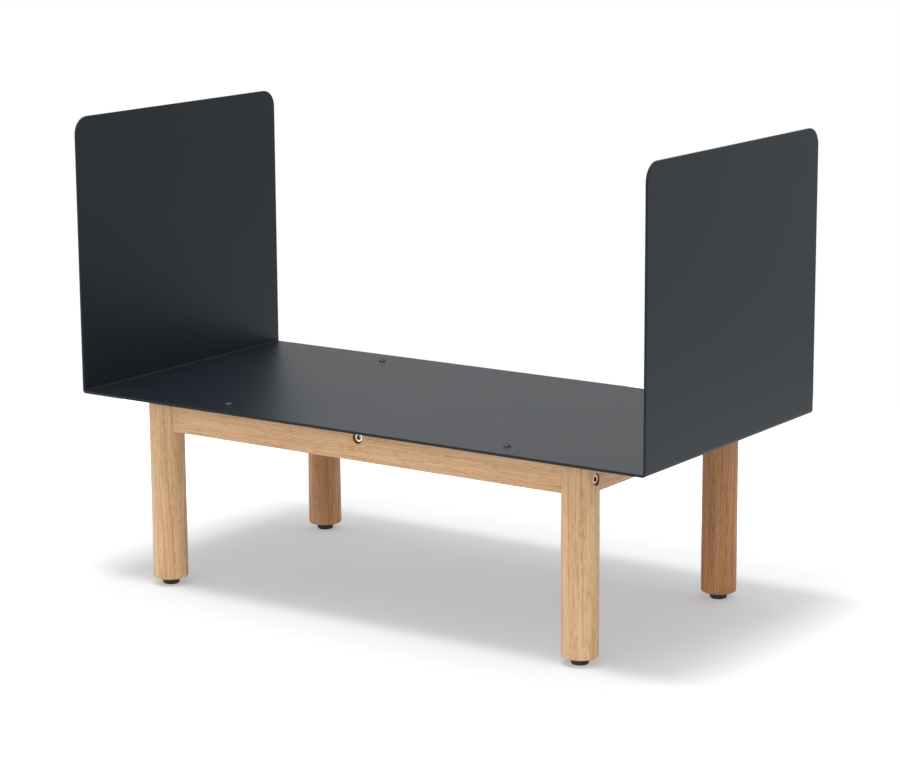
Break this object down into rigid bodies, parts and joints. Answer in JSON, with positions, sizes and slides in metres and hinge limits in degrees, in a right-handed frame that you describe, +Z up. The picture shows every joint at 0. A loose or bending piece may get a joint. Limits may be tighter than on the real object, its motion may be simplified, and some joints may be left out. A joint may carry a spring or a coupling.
{
  "type": "firewood log rack",
  "caption": "Freestanding firewood log rack: a folded steel tray with upright ends, bolted on a round-legged wooden frame with levelling feet.",
  "frame": {"origin": "on the floor under the middle of the tray, at the feet's undersides", "axes": "+X along the tray's length, +Z up, and -Y is the front, where the logs are put in"},
  "size_m": [0.75, 0.36, 0.535],
  "materials": {
    "powder_coat": "satin black powder coat with a fine texture",
    "wood": "pale straight-grained hardwood, clear matt lacquer",
    "dowel_wood": "plain beech dowel",
    "nickel_steel": "nickel-plated socket bolt",
    "zinc_steel": "bright zinc plating",
    "black_steel": "black-coated screw",
    "brass": "turned brass insert",
    "foot_plastic": "moulded black nylon"
  },
  "bodies": {
    "rack": {"tray": "powder_coat", "front_rail": "wood", "back_rail": "wood", "left_end_rail": "wood", "right_end_rail": "wood", "centre_crossbar": "wood", "leg_bolts": "nickel_steel", "crossbar_bolts": "nickel_steel", "leg_barrel_nuts": "zinc_steel", "crossbar_barrel_nuts": "zinc_steel", "long_rail_dowels": "dowel_wood", "end_rail_dowels": "dowel_wood", "crossbar_dowels": "dowel_wood", "tray_screws": "black_steel", "foot_inserts": "brass", "front_left_leg": "wood", "front_right_leg": "wood", "back_left_leg": "wood", "back_right_leg": "wood"},
    "front_left_foot": {"front_left_foot_base": "foot_plastic", "front_left_foot_stud": "zinc_steel"},
    "front_right_foot": {"front_right_foot_base": "foot_plastic", "front_right_foot_stud": "zinc_steel"},
    "back_left_foot": {"back_left_foot_base": "foot_plastic", "back_left_foot_stud": "zinc_steel"},
    "back_right_foot": {"back_right_foot_base": "foot_plastic", "back_right_foot_stud": "zinc_steel"}
  },
  "joints": [
    {"name": "front_left_foot_adjust", "type": "slide", "parent": "rack", "child": "front_left_foot", "axis": [0, 0, -1], "range_m": [0, 0.008]},
    {"name": "front_right_foot_adjust", "type": "slide", "parent": "rack", "child": "front_right_foot", "axis": [0, 0, -1], "range_m": [0, 0.008]},
    {"name": "back_left_foot_adjust", "type": "slide", "parent": "rack", "child": "back_left_foot", "axis": [0, 0, -1], "range_m": [0, 0.008]},
    {"name": "back_right_foot_adjust", "type": "slide", "parent": "rack", "child": "back_right_foot", "axis": [0, 0, -1], "range_m": [0, 0.008]}
  ]
}
